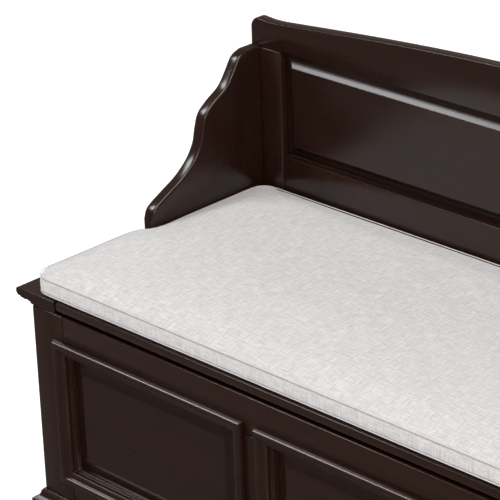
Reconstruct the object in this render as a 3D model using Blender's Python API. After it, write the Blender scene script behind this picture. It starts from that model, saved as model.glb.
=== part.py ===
"""Storage bench: a panelled chest with a hinged lid, a loose seat cushion, a raised-panel back and
scrolled end wings. Metres, +Z up, front towards -Y, origin under the middle of the bench on the floor."""

import math

import bmesh
import bpy
from mathutils import Matrix, Vector

# Overall body
BODY_WIDTH = 1.158
BODY_DEPTH = 0.438
BOX_TOP = 0.400
GAP = 0.0003
BOARD = 0.018
ARRIS = 0.002

# Base
PLINTH_OUT = 0.014
PLINTH_TOP = 0.1065
BASE_MOULDING_TOP = 0.126
FOOT_WIDTH = 0.100
APRON_BOTTOM = 0.062
FOOT_CURVE = 0.060
CARCASS_BOTTOM = 0.0995

# Chest frames and panels
POST_WIDTH = 0.058
POST_DEPTH = 0.040
REAR_POST_DEPTH = 0.058
TOP_RAIL_HEIGHT = 0.053
OPENING_HEIGHT = 0.177
MULLION_WIDTH = 0.055
PANEL_COUNT = 3
MOULDING_LAP = 0.017
MULLION_ARRIS = 0.001
PANEL_BORDER = 0.0062
FIELD_EDGE = 0.0012
FIELD_STEP = 0.0008
PANEL_RAMP = 0.0170
PANEL_DEPTHS = (0.0127, 0.0074, BOARD)
BASE_FILLET = 0.0045
BOTTOM_BOARD = 0.012
REAR_BOARD = 0.009

# Seat level
SEAT_BOARD = 0.0172
LEDGE_OVERHANG = 0.032
LEDGE_INNER = 0.043
LID_THICKNESS = 0.012
LID_SIDE_GAP = 0.003
LID_REAR = 0.368
HINGE_T = 0.3725
HINGE_DROP = 0.003
STRIP_FRONT = 0.3770
BUMPER_RADIUS = 0.004
BUMPER_ARRIS = 0.0008
BUMPER_INSET = 0.0525
BUMPER_T = 0.030
LID_ARRIS = 0.0025
LID_BATTEN_X = 0.24
LID_BATTEN_REAR = 0.335
LID_BATTEN_WIDTH = 0.045
LID_BATTEN_THICKNESS = 0.012

# Back
BACK_T = 0.420
BACK_STILE_WIDTH = 0.055
BACK_BORDER = 0.0015
BACK_RAMP = 0.0165
BACK_DEPTHS = (0.0120, 0.0030, BOARD)
BACK_OPENING_LOW = 0.493
BACK_OPENING_HIGH = 0.645
EAR_TOP = 0.686
EAR_RADIUS = 0.015
CREST_RISE = 0.0315
CREST_START = 0.055
CREST_STEP = 0.0008
BACK_RAIL_BOTTOM = 0.350
REAR_RAIL_DEPTH = 0.0215

# Wings
WING_FRONT = 0.203
WING_TOP = 0.247

# Cushion
CUSHION_BOTTOM = 0.4195
CUSHION_TOP = 0.4520
CUSHION_FRONT = -0.002
CUSHION_BACK = 0.4145
CUSHION_CORNER = 0.030
CUSHION_WAIST_T = 0.165
CUSHION_WAIST_END_T = 0.199
CUSHION_WAIST = 0.0195
CUSHION_WAIST_DIP = 0.006
CUSHION_WAIST_DIP_T = 0.178
CUSHION_EDGE = 0.009
FOLD_CLEARANCE = 0.004

# Hinge
HINGE_LENGTH = 1.050
KNUCKLE_COUNT = 15
BARREL_RADIUS = 0.0028
PIN_RADIUS = 0.0014
BORE_RADIUS = 0.00145
LEAF = 0.0012
LEAF_HEIGHT = 0.009
LEAF_WALL = 0.0006

# Folding lid stays, in distances forward of and above the lid's axis
STAY_LENGTH = 0.122
STAY_BOX_PIVOT = (0.120, -0.070)
STAY_LID_PIVOT = (0.170, -0.030)
STAY_PLATE = 0.0025
STAY_HALF_WIDTH = 0.008
STAY_PLANE = 0.519
STAY_METAL = 0.002
STAY_TAB_DROP = 0.012
STAY_PIN_RADIUS = 0.0025
STAY_BORE_RADIUS = 0.0026

HALF_WIDTH = BODY_WIDTH / 2
FRONT_Y = PLINTH_OUT - (BODY_DEPTH + PLINTH_OUT) / 2
SEAT_TOP = BOX_TOP + GAP + SEAT_BOARD
LID_BOTTOM = SEAT_TOP - LID_THICKNESS
HINGE_Z = SEAT_TOP - HINGE_DROP
SIDES = (("left", -1), ("right", 1))

FINISHES = {
    "lacquered_wood": ((0.026, 0.019, 0.017), 0.32, 0.0),
    "inner_wood": ((0.040, 0.028, 0.023), 0.55, 0.0),
    "linen": ((0.66, 0.64, 0.63), 0.95, 0.0),
    "steel": ((0.32, 0.31, 0.30), 0.35, 1.0),
    "rubber": ((0.02, 0.02, 0.02), 0.80, 0.0),
}


def y_at(t):
    """World Y of a point t behind the chest's front face."""
    return FRONT_Y + t


def clear_scene():
    for obj in list(bpy.data.objects):
        bpy.data.objects.remove(obj, do_unlink=True)


def finish(name, kind):
    colour, roughness, metallic = FINISHES[kind]
    material = bpy.data.materials.new(f"{name}_{kind}")
    material.use_nodes = True
    shader = material.node_tree.nodes["Principled BSDF"]
    shader.inputs["Base Color"].default_value = (*colour, 1.0)
    shader.inputs["Roughness"].default_value = roughness
    shader.inputs["Metallic"].default_value = metallic
    return material


def add_object(name, bm, kind, parent=None, origin=None):
    """Turns world-space geometry into a named object whose origin is its middle, or the point given."""
    bmesh.ops.recalc_face_normals(bm, faces=bm.faces[:])
    if origin is None:
        corners = [v.co for v in bm.verts]
        low = Vector(min(c[i] for c in corners) for i in range(3))
        high = Vector(max(c[i] for c in corners) for i in range(3))
        origin = (low + high) / 2
    origin = Vector(origin)
    bmesh.ops.translate(bm, verts=bm.verts[:], vec=-origin)
    mesh = bpy.data.meshes.new(name)
    bm.to_mesh(mesh)
    bm.free()
    mesh.shade_smooth()
    mesh.set_sharp_from_angle(angle=math.radians(35))
    mesh.materials.append(finish(name, kind))
    obj = bpy.data.objects.new(name, mesh)
    bpy.context.scene.collection.objects.link(obj)
    if parent is not None:
        obj.parent = parent
        origin = origin - parent_origin(parent)
    obj.location = origin
    return obj


def parent_origin(empty):
    place = empty.location.copy()
    while empty.parent is not None:
        empty = empty.parent
        place += empty.location
    return place


def add_empty(name, place, parent=None):
    empty = bpy.data.objects.new(name, None)
    bpy.context.scene.collection.objects.link(empty)
    place = Vector(place)
    if parent is not None:
        empty.parent = parent
        place = place - parent_origin(parent)
    empty.location = place
    return empty


def bevel_edges(bm, edges, width, segments):
    bmesh.ops.bevel(
        bm, geom=edges, offset=width, segments=segments, profile=0.5, affect="EDGES", clamp_overlap=True
    )


def add_block(bm, low, high, arris=0.0, segments=2):
    """A box between two corners, with its edges rounded if an arris is given."""
    part = bmesh.new()
    size = [high[i] - low[i] for i in range(3)]
    middle = [(high[i] + low[i]) / 2 for i in range(3)]
    matrix = Matrix.Translation(middle) @ Matrix.Diagonal((*size, 1.0))
    bmesh.ops.create_cube(part, size=1.0, matrix=matrix)
    if arris > 0:
        bevel_edges(part, part.edges[:], arris, segments)
    join(bm, part)


def join(bm, part):
    """Copies one piece of geometry into another and frees it."""
    mesh = bpy.data.meshes.new("scratch")
    part.to_mesh(mesh)
    part.free()
    bm.from_mesh(mesh)
    bpy.data.meshes.remove(mesh)


def block(name, low, high, kind="lacquered_wood", arris=ARRIS, parent=None):
    bm = bmesh.new()
    add_block(bm, low, high, arris)
    return add_object(name, bm, kind, parent)


def add_prism(bm, outline, place, rim=0.0, segments=2):
    """Extrudes a flat outline between two places and rounds the edges of both its ends.
    place(a, b, end) gives the 3-D point of outline point (a, b) at end 0 or 1."""
    part = bmesh.new()
    ends = [[part.verts.new(place(a, b, end)) for a, b in outline] for end in (0, 1)]
    count = len(outline)
    caps = [part.faces.new(ends[0]), part.faces.new(reversed(ends[1]))]
    for i in range(count):
        j = (i + 1) % count
        part.faces.new((ends[0][j], ends[0][i], ends[1][i], ends[1][j]))
    bmesh.ops.recalc_face_normals(part, faces=part.faces[:])
    if rim > 0:
        edges = list({edge for cap in caps for edge in cap.edges})
        bevel_edges(part, edges, rim, segments)
    bmesh.ops.triangulate(part, faces=[face for face in part.faces if len(face.verts) > 4])
    join(bm, part)


def along_x(low, high):
    return lambda a, b, end: (high if end else low, a, b)


def along_y(low, high):
    return lambda a, b, end: (a, high if end else low, b)


def along_z(low, high):
    return lambda a, b, end: (a, b, high if end else low)


def arc(centre, radius, start, stop, steps):
    """Points on an arc, with angles in degrees."""
    angles = [math.radians(start + (stop - start) * i / steps) for i in range(steps + 1)]
    return [(centre[0] + radius * math.cos(a), centre[1] + radius * math.sin(a)) for a in angles]


def smooth_curve(points, steps):
    """A curve through the points (Catmull-Rom), with its end points kept."""
    padded = [points[0], *points, points[-1]]
    curve = []
    for p0, p1, p2, p3 in zip(padded, padded[1:], padded[2:], padded[3:]):
        for i in range(steps):
            u = i / steps
            weights = (
                -0.5 * u + u * u - 0.5 * u**3,
                1 - 2.5 * u * u + 1.5 * u**3,
                0.5 * u + 2 * u * u - 1.5 * u**3,
                -0.5 * u * u + 0.5 * u**3,
            )
            curve.append(tuple(sum(w * p[k] for w, p in zip(weights, (p0, p1, p2, p3))) for k in (0, 1)))
    curve.append(points[-1])
    return curve


def add_tube(bm, start, end, radius, bore=0.0, sides=12):
    """A rod, or a tube if it has a bore, between two points on a line along X."""
    ring = [2 * math.pi * i / sides for i in range(sides)]
    radii = [radius, radius]
    if bore > 0:
        radii += [bore, bore]
    stations = (start[0], end[0], end[0], start[0])
    part = bmesh.new()
    rings = []
    for x, r in zip(stations, radii):
        places = [(x, start[1] + r * math.cos(a), start[2] + r * math.sin(a)) for a in ring]
        rings.append([part.verts.new(place) for place in places])
    pairs = list(zip(rings, rings[1:] + rings[:1])) if bore > 0 else [(rings[0], rings[1])]
    for near, far in pairs:
        for i in range(sides):
            j = (i + 1) % sides
            part.faces.new((near[i], near[j], far[j], far[i]))
    if bore <= 0:
        part.faces.new(rings[0])
        part.faces.new(rings[1])
    bmesh.ops.recalc_face_normals(part, faces=part.faces[:])
    join(bm, part)


def combine(obj, bm, operation):
    """Joins to, or cuts from, an object the solid in bm, which is in world space."""
    bmesh.ops.recalc_face_normals(bm, faces=bm.faces[:])
    mesh = bpy.data.meshes.new(f"{obj.name}_tool")
    bm.to_mesh(mesh)
    bm.free()
    tool = bpy.data.objects.new(f"{obj.name}_tool", mesh)
    bpy.context.scene.collection.objects.link(tool)
    tool.hide_render = True
    tool.display_type = "WIRE"
    modifier = obj.modifiers.new(operation.lower(), "BOOLEAN")
    modifier.operation = operation
    modifier.solver = "EXACT"
    modifier.object = tool
    return tool


# Raised panels and their mouldings


def raised_panel(name, width, height, place, turn, border, ramp, levels):
    """A panel with a flat border, a coved bevel and a raised field. levels are the depths of the border,
    the field and the back behind the frame's face. It faces -Y before it is turned about Z."""
    border_depth, field_depth, back_depth = levels
    rings = [(0.0, back_depth), (0.0, border_depth), (border, border_depth)]
    steps = 5
    for i in range(1, steps + 1):
        u = i / steps
        fall = 1 - math.cos(u * math.pi / 2)
        rings.append((border + ramp * u, border_depth + (field_depth - border_depth) * fall))
    rings.append((border + ramp + FIELD_EDGE, field_depth - FIELD_STEP))
    bm = bmesh.new()
    loops = []
    for inset, depth in rings:
        half = (width / 2 - inset, height / 2 - inset)
        signs = ((-1, -1), (1, -1), (1, 1), (-1, 1))
        loops.append([bm.verts.new((sx * half[0], depth, sz * half[1])) for sx, sz in signs])
    for near, far in zip(loops, loops[1:]):
        for i in range(4):
            j = (i + 1) % 4
            bm.faces.new((near[i], near[j], far[j], far[i]))
    bm.faces.new(loops[0])
    bm.faces.new(loops[-1])
    return add_turned(name, bm, place, turn)


def add_turned(name, bm, place, turn, kind="lacquered_wood"):
    """Adds geometry built around its own origin, turned about Z and then placed."""
    obj = add_object(name, bm, kind, origin=(0, 0, 0))
    obj.rotation_euler = (0, 0, turn)
    obj.location = place
    return obj


def moulding_profile():
    """Cross-section of the frame moulding: distance in from its outer edge, and height over the frame."""
    bead = arc((0.0055, 0.0035), 0.0055, 180, 10, 9)
    ogee = [(0.0118, 0.0034), (0.0142, 0.0028), (0.0170, 0.0020), (0.0186, 0.0006)]
    lip = [(0.0192, -0.0052), (0.0218, -0.0060), (0.0224, -0.0080), (0.0240, -0.0118)]
    back = [(0.0240, -0.0124), (MOULDING_LAP + GAP, -0.0124), (MOULDING_LAP + GAP, GAP), (0.0, GAP)]
    return bead + ogee + lip + back


def frame_moulding(name, width, height, place, turn):
    """A mitred frame of moulding round a panel opening of the given size."""
    outer = (width / 2 + MOULDING_LAP, height / 2 + MOULDING_LAP)
    bm = bmesh.new()
    corners = []
    for sx, sz in ((-1, -1), (1, -1), (1, 1), (-1, 1)):
        places = [(sx * (outer[0] - u), -v, sz * (outer[1] - u)) for u, v in moulding_profile()]
        corners.append([bm.verts.new(place) for place in places])
    count = len(corners[0])
    for near, far in zip(corners, corners[1:] + corners[:1]):
        for i in range(count):
            j = (i + 1) % count
            bm.faces.new((near[i], near[j], far[j], far[i]))
    return add_turned(name, bm, place, turn)


def panel_and_moulding(label, width, height, place, turn):
    """The raised panel and the moulding that fill one opening of the chest's frames."""
    size = (width - 2 * GAP, height - 2 * GAP)
    raised_panel(f"{label}_panel", *size, place, turn, PANEL_BORDER, PANEL_RAMP, PANEL_DEPTHS)
    frame_moulding(f"{label}_moulding", width, height, place, turn)


# Chest


def opening_levels():
    """Heights of the lower and upper edges of the chest's panel openings."""
    high = BOX_TOP - TOP_RAIL_HEIGHT
    return high - OPENING_HEIGHT, high


def build_posts():
    bottom = 0.0
    for side, sign in SIDES:
        outer = sign * HALF_WIDTH
        xs = sorted((outer, outer - sign * POST_WIDTH))
        block(f"front_post_{side}", (xs[0], y_at(0), bottom), (xs[1], y_at(POST_DEPTH), BOX_TOP))
        xs = sorted((outer, outer - sign * BOARD))
        front = y_at(BACK_T - GAP - REAR_POST_DEPTH)
        block(f"rear_post_{side}", (xs[0], front, bottom), (xs[1], y_at(BACK_T - GAP), BOX_TOP))


def build_front_frame():
    low, high = opening_levels()
    inner = HALF_WIDTH - POST_WIDTH - GAP
    front, rear = y_at(0), y_at(BOARD)
    block("front_top_rail", (-inner, front, high), (inner, rear, BOX_TOP))
    block("front_bottom_rail", (-inner, front, CARCASS_BOTTOM), (inner, rear, low))
    opening = (2 * (HALF_WIDTH - POST_WIDTH) - (PANEL_COUNT - 1) * MULLION_WIDTH) / PANEL_COUNT
    pitch = opening + MULLION_WIDTH
    for side, sign in SIDES:
        middle = sign * pitch / 2
        half = MULLION_WIDTH / 2
        corners = ((middle - half, front, low + GAP), (middle + half, rear, high - GAP))
        block(f"front_mullion_{side}", *corners, arris=MULLION_ARRIS)
    for i, label in enumerate(("left", "center", "right")):
        place = (pitch * (i - 1), front, (low + high) / 2)
        panel_and_moulding(f"front_{label}", opening, high - low, place, 0.0)


def build_side_frames():
    low, high = opening_levels()
    start = POST_DEPTH
    stop = BACK_T - GAP - REAR_POST_DEPTH
    for side, sign in SIDES:
        xs = sorted((sign * HALF_WIDTH, sign * (HALF_WIDTH - BOARD)))
        ends = (y_at(start + GAP), y_at(stop - GAP))
        block(f"side_top_rail_{side}", (xs[0], ends[0], high), (xs[1], ends[1], BOX_TOP))
        block(f"side_bottom_rail_{side}", (xs[0], ends[0], CARCASS_BOTTOM), (xs[1], ends[1], low))
        place = (sign * HALF_WIDTH, y_at((start + stop) / 2), (low + high) / 2)
        panel_and_moulding(f"side_{side}", stop - start, high - low, place, sign * math.pi / 2)


def build_floor_and_rear():
    inner = HALF_WIDTH - BOARD - GAP
    rear = BACK_T - GAP
    shelf = CARCASS_BOTTOM + BOTTOM_BOARD
    notch_x = HALF_WIDTH - POST_WIDTH - GAP
    notch_y = y_at(POST_DEPTH + GAP)
    front = y_at(BOARD + GAP)
    outline = [(-notch_x, front), (notch_x, front), (notch_x, notch_y), (inner, notch_y)]
    outline += [(inner, y_at(rear)), (-inner, y_at(rear)), (-inner, notch_y), (-notch_x, notch_y)]
    bm = bmesh.new()
    add_prism(bm, outline, along_z(shelf + GAP, shelf + GAP + BOTTOM_BOARD))
    add_object("bottom_board", bm, "inner_wood")
    half = HALF_WIDTH - BACK_STILE_WIDTH - GAP
    low = (-half, y_at(BACK_T), CARCASS_BOTTOM)
    high = (half, y_at(BACK_T + REAR_BOARD), BACK_RAIL_BOTTOM - GAP)
    block("rear_board", low, high, "inner_wood", arris=0.0005)
    low = (-inner, y_at(rear - REAR_RAIL_DEPTH), BACK_RAIL_BOTTOM)
    block("rear_top_rail", low, (inner, y_at(rear), BOX_TOP), "inner_wood")


# Base


def bracket_outline(half_length):
    """Outline of a base board with a bracket foot at each end, in length and height."""
    curve = smooth_curve(
        [
            (FOOT_WIDTH, 0.0),
            (FOOT_WIDTH + 0.004, 0.016),
            (FOOT_WIDTH + 0.020, 0.030),
            (FOOT_WIDTH + 0.034, 0.044),
            (FOOT_WIDTH + 0.040, 0.056),
            (FOOT_WIDTH + FOOT_CURVE, APRON_BOTTOM),
        ],
        3,
    )
    right = [(half_length - a, b) for a, b in reversed(curve)]
    left = [(a - half_length, b) for a, b in curve]
    top = PLINTH_TOP
    return [(half_length, 0.0), (half_length, top), (-half_length, top), (-half_length, 0.0)] + left + right


def build_plinth():
    outer = HALF_WIDTH + PLINTH_OUT
    bm = bmesh.new()
    add_prism(bm, bracket_outline(outer), along_y(y_at(-PLINTH_OUT), y_at(-GAP)), 0.0015, 1)
    add_object("plinth_front", bm, "lacquered_wood")
    middle = y_at(BODY_DEPTH / 2)
    outline = [(middle + a, b) for a, b in bracket_outline(BODY_DEPTH / 2)]
    for side, sign in SIDES:
        xs = sorted((sign * (HALF_WIDTH + GAP), sign * outer))
        bm = bmesh.new()
        add_prism(bm, outline, along_x(*xs), 0.0015, 1)
        add_object(f"plinth_{side}", bm, "lacquered_wood")


def base_profile():
    """Cross-section of the base moulding: distance out from the chest, and height."""
    low = PLINTH_TOP + GAP
    cove = arc((PLINTH_OUT, BASE_MOULDING_TOP - 0.003), 0.0095, 250, 180, 5)
    shoulder = [(0.0030, BASE_MOULDING_TOP - 0.0015), (0.0018, BASE_MOULDING_TOP)]
    foot = [(GAP, low), (PLINTH_OUT, low), (PLINTH_OUT, low + BASE_FILLET)]
    return foot + cove + shoulder + [(GAP, BASE_MOULDING_TOP)]


def build_base_mouldings():
    """Three lengths of moulding, mitred where they meet at the front corners."""
    profile = base_profile()
    mitre = GAP / 2

    def front_place(out, z, end):
        sign = 1 if end else -1
        return (sign * (HALF_WIDTH + out - mitre), y_at(-out), z)

    bm = bmesh.new()
    add_prism(bm, profile, front_place)
    add_object("base_moulding_front", bm, "lacquered_wood")
    for side, sign in SIDES:

        def side_place(out, z, end, sign=sign):
            return (sign * (HALF_WIDTH + out), y_at(BODY_DEPTH) if end else y_at(-out + mitre), z)

        bm = bmesh.new()
        add_prism(bm, profile, side_place)
        add_object(f"base_moulding_{side}", bm, "lacquered_wood")


# Seat level


def ledge_outline(sign):
    """Cross-section of an end ledge: a round nose over a shallow ogee. Points are (x, z)."""
    bottom, top = BOX_TOP + GAP, SEAT_TOP
    nose = 0.0052
    centre = (-LEDGE_OVERHANG + nose, top - nose)
    edge = [(LEDGE_INNER, bottom), (LEDGE_INNER, top), (centre[0], top)]
    edge += arc(centre, nose, 110, 230, 6)
    edge += [(-0.0282, bottom + 0.0058), (-0.0240, bottom + 0.0056), (-0.0236, bottom + 0.0042)]
    edge += arc((-0.0236 + 0.0080, bottom + 0.0112), 0.0080, 250, 290, 2)
    edge += [(-0.0090, bottom + 0.0040), (-0.0040, bottom + 0.0022), (-0.0012, bottom)]
    return [(sign * (HALF_WIDTH - s), z) for s, z in edge]


def build_ledges():
    for side, sign in SIDES:
        bm = bmesh.new()
        add_prism(bm, ledge_outline(sign), along_y(y_at(0), y_at(BACK_T - GAP)), 0.0010, 1)
        add_object(f"ledge_{side}", bm, "lacquered_wood")
    half = HALF_WIDTH - LEDGE_INNER - GAP
    low = (-half, y_at(STRIP_FRONT), BOX_TOP + GAP)
    block("hinge_strip", low, (half, y_at(BACK_T - GAP), SEAT_TOP))


def wing_outline():
    """Side view of a wing, as (t, z): two coves with round knuckles between them, and a flat top."""
    scroll = [
        (0.2030, 0.0560),
        (0.2100, 0.0710),
        (0.2350, 0.0850),
        (0.2626, 0.0990),
        (0.2850, 0.1170),
        (0.2980, 0.1360),
        (0.3035, 0.1570),
        (0.3105, 0.1760),
        (0.3275, 0.1900),
        (0.3510, 0.2040),
        (0.3660, 0.2230),
        (0.3785, 0.2405),
        (0.3950, WING_TOP),
    ]
    outline = smooth_curve(scroll, 4)
    foot = SEAT_TOP + GAP - BOX_TOP
    outline += [(BACK_T - GAP, WING_TOP), (BACK_T - GAP, foot), (WING_FRONT, foot)]
    return [(y_at(t), BOX_TOP + z) for t, z in outline]


def build_wings():
    for side, sign in SIDES:
        xs = sorted((sign * HALF_WIDTH, sign * (HALF_WIDTH - BOARD)))
        bm = bmesh.new()
        add_prism(bm, wing_outline(), along_x(*xs), 0.0035, 3)
        add_object(f"wing_{side}", bm, "lacquered_wood")


# Back


def crest_outline():
    """Front view of the crest rail: a round ear at each end and a long bow between them."""
    left = [(-HALF_WIDTH, BACK_OPENING_HIGH + GAP)]
    left += arc((-HALF_WIDTH + EAR_RADIUS, EAR_TOP - EAR_RADIUS), EAR_RADIUS, 180, 75, 6)
    left += [(-HALF_WIDTH + 0.034, EAR_TOP - 0.0016)]
    span = HALF_WIDTH - CREST_START
    steps = 12
    for i in range(steps + 1):
        u = i / steps
        rise = CREST_RISE * math.sin(u * math.pi / 2)
        left.append((-HALF_WIDTH + CREST_START + span * u, EAR_TOP - CREST_STEP + rise))
    right = [(-x, z) for x, z in reversed(left[:-1])]
    return left + right


def build_back():
    front, rear = y_at(BACK_T), y_at(BODY_DEPTH)
    for side, sign in SIDES:
        xs = sorted((sign * HALF_WIDTH, sign * (HALF_WIDTH - BACK_STILE_WIDTH)))
        top = BACK_OPENING_HIGH - GAP
        block(f"back_stile_{side}", (xs[0], front, 0.0), (xs[1], rear, top))
    half = HALF_WIDTH - BACK_STILE_WIDTH - GAP
    block("back_lower_rail", (-half, front, BACK_RAIL_BOTTOM), (half, rear, BACK_OPENING_LOW))
    width = 2 * (HALF_WIDTH - BACK_STILE_WIDTH - 2 * GAP)
    height = BACK_OPENING_HIGH - BACK_OPENING_LOW
    place = (0.0, front, (BACK_OPENING_HIGH + BACK_OPENING_LOW) / 2)
    raised_panel("back_panel", width, height - 2 * GAP, place, 0.0, BACK_BORDER, BACK_RAMP, BACK_DEPTHS)
    bm = bmesh.new()
    add_prism(bm, crest_outline(), along_y(front, rear), 0.0030, 2)
    add_object("crest_rail", bm, "lacquered_wood")


# Lid and what rides on it


def build_lid(lid):
    half = HALF_WIDTH - LEDGE_INNER - LID_SIDE_GAP
    corners = ((-half, y_at(0), LID_BOTTOM), (half, y_at(LID_REAR), SEAT_TOP))
    block("lid_board", *corners, arris=LID_ARRIS, parent=lid)
    depth = LID_BATTEN_THICKNESS
    for side, sign in SIDES:
        x = sign * LID_BATTEN_X
        low = (x - LID_BATTEN_WIDTH / 2, y_at(0.035), LID_BOTTOM - GAP - depth)
        high = (x + LID_BATTEN_WIDTH / 2, y_at(LID_BATTEN_REAR), LID_BOTTOM - GAP)
        block(f"lid_batten_{side}", low, high, "inner_wood", parent=lid)


def build_bumpers():
    for side, sign in SIDES:
        ring = arc((sign * (HALF_WIDTH - BUMPER_INSET), y_at(BUMPER_T)), BUMPER_RADIUS, 0, 330, 11)
        bm = bmesh.new()
        add_prism(bm, ring, along_z(BOX_TOP + GAP, LID_BOTTOM - GAP), BUMPER_ARRIS, 1)
        add_object(f"lid_bumper_{side}", bm, "rubber")


def cushion_plan(front_t, back_t):
    """Plan of the cushion between two depths: round front corners, and a waist between the wings."""
    wide = HALF_WIDTH
    narrow = HALF_WIDTH - CUSHION_WAIST
    if front_t > CUSHION_WAIST_END_T:
        right = [(narrow, y_at(front_t)), (narrow, y_at(back_t))]
    else:
        centre = (wide - CUSHION_CORNER, y_at(front_t) + CUSHION_CORNER)
        right = arc(centre, CUSHION_CORNER, -90, 0, 6)
        middle = (wide - CUSHION_WAIST_DIP, y_at(CUSHION_WAIST_DIP_T))
        right += [(wide, y_at(CUSHION_WAIST_T)), middle, (narrow, y_at(CUSHION_WAIST_END_T))]
        right += [(narrow, y_at(back_t))]
    return right + [(-x, y) for x, y in reversed(right)]


def build_cushion(lid):
    """The cushion is one loose pad. It bends over the hinge line, so its back edge is a solid of its own."""
    levels = along_z(CUSHION_BOTTOM, CUSHION_TOP)
    bm = bmesh.new()
    add_prism(bm, cushion_plan(CUSHION_FRONT, HINGE_T - FOLD_CLEARANCE), levels, CUSHION_EDGE, 2)
    add_object("seat_cushion", bm, "linen", lid)
    bm = bmesh.new()
    add_prism(bm, cushion_plan(HINGE_T + FOLD_CLEARANCE, CUSHION_BACK), levels, CUSHION_EDGE, 2)
    add_object("seat_cushion_back_edge", bm, "linen")


# Hinge


def knuckles(moving):
    """The spans along X of the hinge's knuckles: the fixed leaf has the first, the third and so on."""
    pitch = HINGE_LENGTH / KNUCKLE_COUNT
    start = -HINGE_LENGTH / 2
    first = 1 if moving else 0
    lefts = [start + i * pitch for i in range(first, KNUCKLE_COUNT, 2)]
    return [(left + GAP / 2, left + pitch - GAP / 2) for left in lefts]


def hinge_leaf(name, moving, parent=None):
    """One leaf of the continuous hinge: a long plate with knuckles along its upper edge."""
    face = LID_REAR + GAP if moving else STRIP_FRONT - GAP - LEAF
    offset = BORE_RADIUS + LEAF_WALL
    wall = HINGE_T - offset if moving else HINGE_T + offset
    half = HINGE_LENGTH / 2
    plate = bmesh.new()
    low = (-half, y_at(face), HINGE_Z - LEAF_HEIGHT)
    add_block(plate, low, (half, y_at(face + LEAF), HINGE_Z - BARREL_RADIUS * 0.4))
    obj = add_object(name, plate, "steel", parent)
    barrels = bmesh.new()
    webs = bmesh.new()
    centre = (y_at(HINGE_T), HINGE_Z)
    ys = sorted((y_at(wall), y_at(face + LEAF / 2)))
    web_low = HINGE_Z - BARREL_RADIUS * 0.8
    for start, end in knuckles(moving):
        add_tube(barrels, (start, *centre), (end, *centre), BARREL_RADIUS, BORE_RADIUS)
        add_block(webs, (start, ys[0], web_low), (end, ys[1], web_low + LEAF))
    combine(obj, barrels, "UNION")
    combine(obj, webs, "UNION")


def build_hinge(lid):
    hinge_leaf("hinge_leaf_fixed", False)
    hinge_leaf("hinge_leaf_moving", True, lid)
    half = HINGE_LENGTH / 2 + 0.001
    centre = (y_at(HINGE_T), HINGE_Z)
    bm = bmesh.new()
    add_tube(bm, (-half, *centre), (half, *centre), PIN_RADIUS)
    add_object("hinge_pin", bm, "steel")


# Lid stays


def stay_point(forward, up):
    """World Y and Z of a point given forward of and above the lid's axis."""
    return (y_at(HINGE_T) - forward, HINGE_Z + up)


def knee_point():
    """Where the stay's two arms meet with the lid shut, forward of and above the lid's axis."""
    bx, bz = STAY_BOX_PIVOT
    lx, lz = STAY_LID_PIVOT
    span = math.hypot(lx - bx, lz - bz)
    rise = math.sqrt(STAY_LENGTH**2 - (span / 2) ** 2)
    return ((bx + lx) / 2 + rise * (lz - bz) / span, (bz + lz) / 2 - rise * (lx - bx) / span)


def add_arm(bm, start, end, xs):
    """A flat bar with round ends between two pivots, given as world (y, z)."""
    heading = math.degrees(math.atan2(end[1] - start[1], end[0] - start[0]))
    outline = arc(start, STAY_HALF_WIDTH, heading + 90, heading + 270, 6)
    outline += arc(end, STAY_HALF_WIDTH, heading - 90, heading + 90, 6)
    add_prism(bm, outline, along_x(*sorted(xs)))


def bore(obj, centres, xs):
    tool = bmesh.new()
    for y, z in centres:
        add_tube(tool, (min(xs) - 0.001, y, z), (max(xs) + 0.001, y, z), STAY_BORE_RADIUS)
    combine(obj, tool, "DIFFERENCE")


def pin(obj, centre, xs):
    tool = bmesh.new()
    add_tube(tool, (min(xs), *centre), (max(xs), *centre), STAY_PIN_RADIUS)
    combine(obj, tool, "UNION")


def build_stay(side, sign):
    """One folding stay: a bracket on the chest, two arms that meet at a knee, and a bracket on the lid."""
    box_pivot = stay_point(*STAY_BOX_PIVOT)
    lid_pivot = stay_point(*STAY_LID_PIVOT)
    knee = stay_point(*knee_point())
    plane = sign * STAY_PLANE
    step = -sign * (STAY_PLATE + GAP)
    lower_xs = (plane, plane - sign * STAY_PLATE)
    upper_xs = (plane + step, plane + step - sign * STAY_PLATE)
    lower = add_empty(f"stay_{side}_box_pivot", (plane, *box_pivot))
    upper = add_empty(f"stay_{side}_knee", (plane, *knee), lower)
    bracket = stay_bracket(side, sign, box_pivot)
    pin(bracket, box_pivot, (plane + sign * (GAP + 0.0005), lower_xs[1]))
    bm = bmesh.new()
    add_arm(bm, box_pivot, knee, lower_xs)
    arm = add_object(f"stay_lower_arm_{side}", bm, "steel", lower, (plane, *box_pivot))
    bore(arm, [box_pivot], lower_xs)
    pin(arm, knee, (lower_xs[1] + sign * 0.0005, upper_xs[1]))
    bm = bmesh.new()
    add_arm(bm, knee, lid_pivot, upper_xs)
    arm = add_object(f"stay_upper_arm_{side}", bm, "steel", upper, (plane, *knee))
    bore(arm, [knee, lid_pivot], upper_xs)


def stay_bracket(side, sign, pivot):
    """A channel that stands in from the chest's side, with a tab for the lower arm's pivot."""
    metal = STAY_METAL
    wall = HALF_WIDTH - BOARD - GAP
    tab = STAY_PLANE + GAP
    foot, top = pivot[1] + 0.004, pivot[1] + 0.044
    low = pivot[1] - STAY_TAB_DROP
    outline = [(wall, foot), (wall, top), (tab, top), (tab, low), (tab + metal, low)]
    outline += [(tab + metal, top - metal), (wall - metal, top - metal), (wall - metal, foot)]
    bm = bmesh.new()
    add_prism(bm, [(sign * x, z) for x, z in outline], along_y(pivot[0] - 0.018, pivot[0] + 0.018))
    return add_object(f"stay_bracket_{side}", bm, "steel")


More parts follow.
